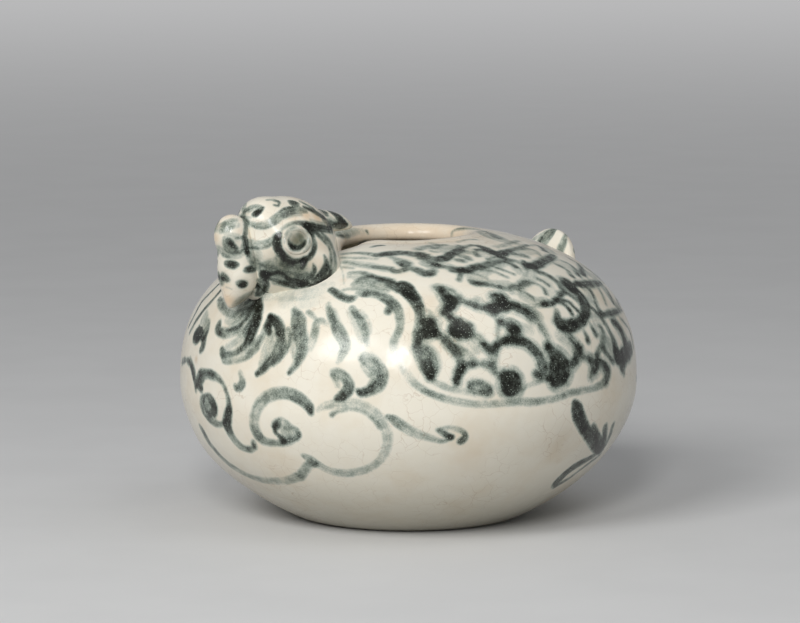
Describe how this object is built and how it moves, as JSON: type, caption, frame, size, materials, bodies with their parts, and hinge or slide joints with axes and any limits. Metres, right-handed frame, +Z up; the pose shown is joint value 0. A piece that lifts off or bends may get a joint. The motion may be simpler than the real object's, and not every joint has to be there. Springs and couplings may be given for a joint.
{
  "type": "bird-shaped ceramic jar",
  "caption": "Squat round glazed jar with a small rolled mouth, a bird's head with hooked beak and swept crest on its shoulder, and an upright tail flap opposite.",
  "frame": {"origin": "middle of the foot, on the surface the jar stands on", "axes": "+Z up through the mouth, +X toward the bird's beak, +Y toward the bird's left side"},
  "size_m": [0.1077, 0.105, 0.0755],
  "materials": {
    "vessel_glaze": "semi-gloss ivory glaze, fine crazing",
    "lip_glaze": "semi-gloss ivory glaze, thin and warm at the edge",
    "head_glaze": "semi-gloss ivory glaze over dark brush lines",
    "beak_glaze": "semi-gloss ivory glaze with dark spots",
    "dark_glaze": "semi-gloss glaze over dark pigment",
    "eye_glaze": "semi-gloss glaze",
    "tail_glaze": "semi-gloss glaze with grey-blue stripes"
  },
  "bodies": {
    "root": {"vessel_body": "vessel_glaze", "mouth_lip": "lip_glaze", "neck": "head_glaze", "head": "head_glaze", "cere": "beak_glaze", "beak_upper": "beak_glaze", "beak_lower": "dark_glaze", "crest": "head_glaze", "eye_ring_left": "eye_glaze", "eye_ring_right": "eye_glaze", "tail": "tail_glaze"}
  },
  "joints": []
}
